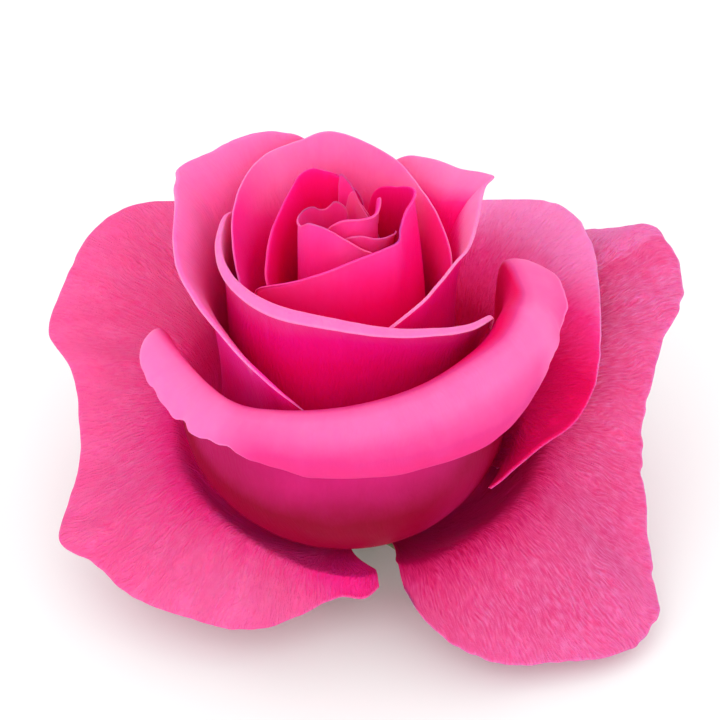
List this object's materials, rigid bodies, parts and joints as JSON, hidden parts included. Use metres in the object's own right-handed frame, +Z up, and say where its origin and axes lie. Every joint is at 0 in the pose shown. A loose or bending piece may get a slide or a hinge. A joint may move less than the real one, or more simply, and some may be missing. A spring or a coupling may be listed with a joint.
{
  "type": "rose bloom with a cut stem stub",
  "caption": "Open pink rose head cut just under its hip: nested cup petals, one rolled front petal and folded-back guard petals, resting on its sepals.",
  "frame": {"origin": "centre of the bounding box in plan, at the height of the surface the bloom stands on", "axes": "+Z up along the bloom's axis, -Y towards the viewer and the rolled front petal, +X to the viewer's right"},
  "size_m": [0.1088, 0.0854, 0.0755],
  "materials": {
    "petal_heart": "satin",
    "petal_cup": "satin",
    "petal_guard": "satin",
    "calyx_green": "matte",
    "anther_yellow": "matte"
  },
  "bodies": {
    "root": {"petal_core_1": "petal_heart", "petal_core_2": "petal_heart", "petal_core_3": "petal_heart", "petal_heart_top": "petal_heart", "petal_heart_right": "petal_heart", "petal_heart_front": "petal_heart", "petal_fold_small": "petal_heart", "petal_fold_large": "petal_heart", "petal_swirl_left": "petal_cup", "petal_swirl_right": "petal_cup", "petal_cup_back": "petal_cup", "petal_mid_front": "petal_cup", "petal_cup_right": "petal_cup", "petal_cup_front": "petal_cup", "petal_low_front": "petal_cup", "petal_cup_left": "petal_cup", "petal_mid_back_left": "petal_cup", "petal_mid_back_right": "petal_cup", "petal_front_rolled": "petal_cup", "petal_guard_right_upper": "petal_guard", "petal_guard_left": "petal_guard", "petal_guard_right": "petal_guard", "petal_guard_back_right": "petal_guard", "petal_guard_back_left": "petal_guard", "hip": "calyx_green", "stem_stub": "calyx_green", "sepal_1": "calyx_green", "sepal_2": "calyx_green", "sepal_3": "calyx_green", "sepal_4": "calyx_green", "sepal_5": "calyx_green", "styles": "calyx_green", "stamens": "anther_yellow"}
  },
  "joints": []
}
